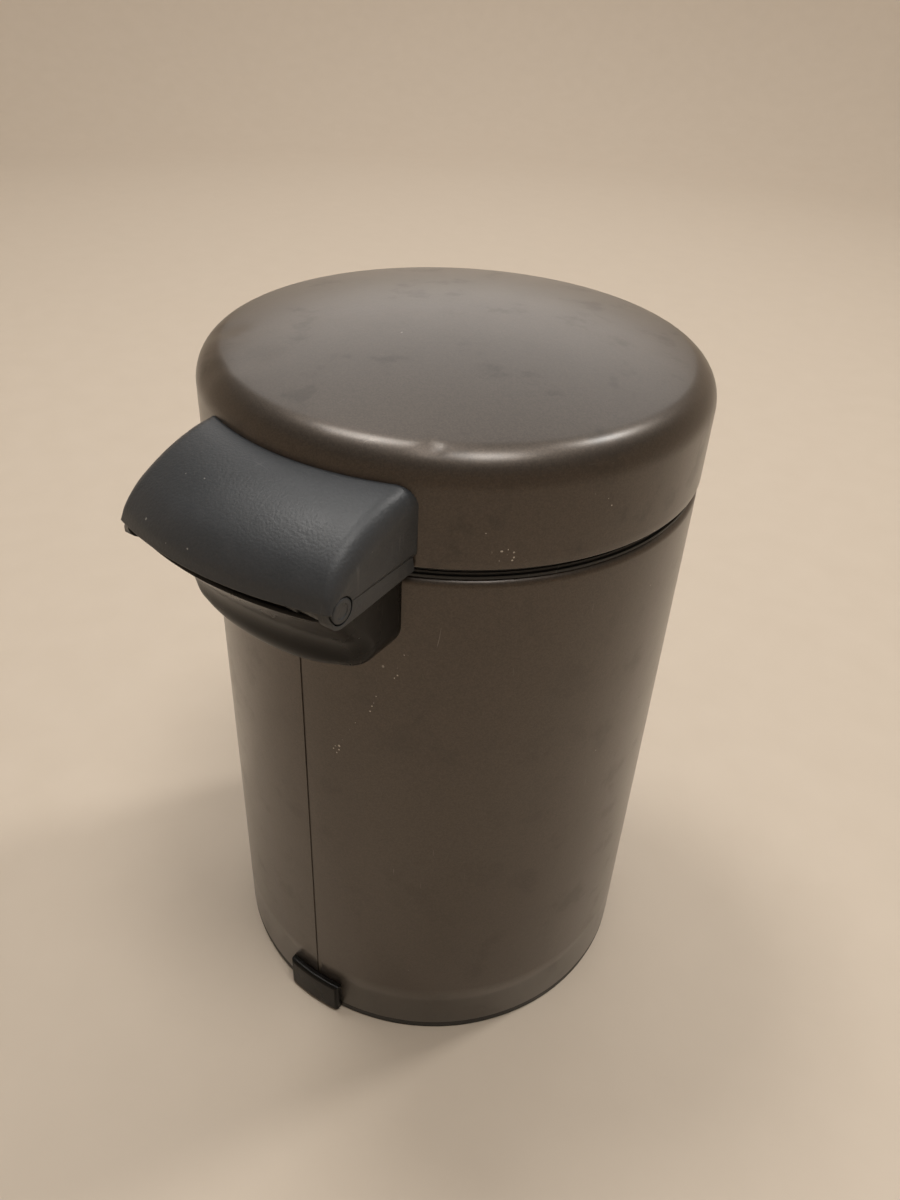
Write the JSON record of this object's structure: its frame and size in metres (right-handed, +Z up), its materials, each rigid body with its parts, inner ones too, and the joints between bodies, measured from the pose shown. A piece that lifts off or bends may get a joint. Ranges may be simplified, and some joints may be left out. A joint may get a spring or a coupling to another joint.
{
  "type": "pedal trash can",
  "caption": "Round pedal trash can with a domed lid on a boxed rear hinge, a push rod up the back, a front pedal and a lift-out bucket.",
  "frame": {"origin": "on the floor, on the axis of the round body", "axes": "+Z up along the body's axis, +Y towards the rear hinge, so the pedal is at -Y; +X completes a right-handed frame"},
  "size_m": [0.1656, 0.2309, 0.2644],
  "materials": {
    "painted_steel": "fine metallic taupe paint, satin",
    "charcoal_plastic": "fine matte texture",
    "black_gloss_plastic": "glossy moulded",
    "black_plastic": "satin moulded",
    "bearing_plastic": "natural moulded",
    "bucket_plastic": "smooth moulded",
    "zinc_steel": "bright zinc plating",
    "bright_steel": "polished",
    "rubber": "matt"
  },
  "bodies": {
    "bin_body": {"body_shell": "painted_steel", "top_collar": "black_plastic", "base_ring": "black_plastic", "anti_slip_ring": "rubber", "rear_foot_clip": "black_gloss_plastic", "pedal_axle": "zinc_steel", "axle_cap_left": "black_plastic", "axle_cap_right": "black_plastic", "rod_guide_lower": "black_plastic", "rod_guide_upper": "black_plastic", "hinge_housing": "black_gloss_plastic", "housing_backplate": "zinc_steel", "housing_screws": "bright_steel", "damper_barrel": "black_plastic"},
    "lid": {"hinge_cover": "charcoal_plastic", "hinge_arm": "black_gloss_plastic", "hinge_pin": "bright_steel", "pin_cap_left": "black_gloss_plastic", "pin_cap_right": "black_gloss_plastic", "crank_pin": "bright_steel", "arm_screws": "bright_steel", "lid_shell": "painted_steel", "lid_rim_ring": "black_plastic"},
    "pedal": {"pedal_lever": "zinc_steel", "pedal_pad": "black_plastic", "pad_rivets": "bright_steel", "pedal_bush_left": "bearing_plastic", "pedal_bush_right": "bearing_plastic"},
    "lift_rod": {"push_rod": "zinc_steel", "rod_head": "black_plastic", "rod_foot": "black_plastic"},
    "bucket": {"inner_bucket": "bucket_plastic"},
    "bail": {"bucket_bail": "bright_steel"}
  },
  "joints": [
    {"name": "lid_hinge", "type": "hinge", "parent": "bin_body", "child": "lid", "pos_m": [0, 0.1054, 0.2256], "axis": [-1, 0, 0], "range_deg": [0, 78]},
    {"name": "pedal_pivot", "type": "hinge", "parent": "bin_body", "child": "pedal", "pos_m": [0, -0.01, 0.0145], "axis": [1, 0, 0], "range_deg": [0, 10.1]},
    {"name": "rod_slide", "type": "slide", "parent": "bin_body", "child": "lift_rod", "axis": [0, 0, 1], "range_m": [0, 0.0152]},
    {"name": "bucket_lift", "type": "slide", "parent": "bin_body", "child": "bucket", "axis": [0, 0, 1], "range_m": [0, 0.012]},
    {"name": "bail_hinge", "type": "hinge", "parent": "bucket", "child": "bail", "pos_m": [0, 0, 0.221], "axis": [-1, 0, 0], "range_deg": [0, 14]}
  ],
  "couplings": [
    {"joint": "rod_slide", "follows": "lid_hinge", "m_per_rad": 0.011095},
    {"joint": "pedal_pivot", "follows": "lid_hinge", "ratio": 0.12843}
  ]
}
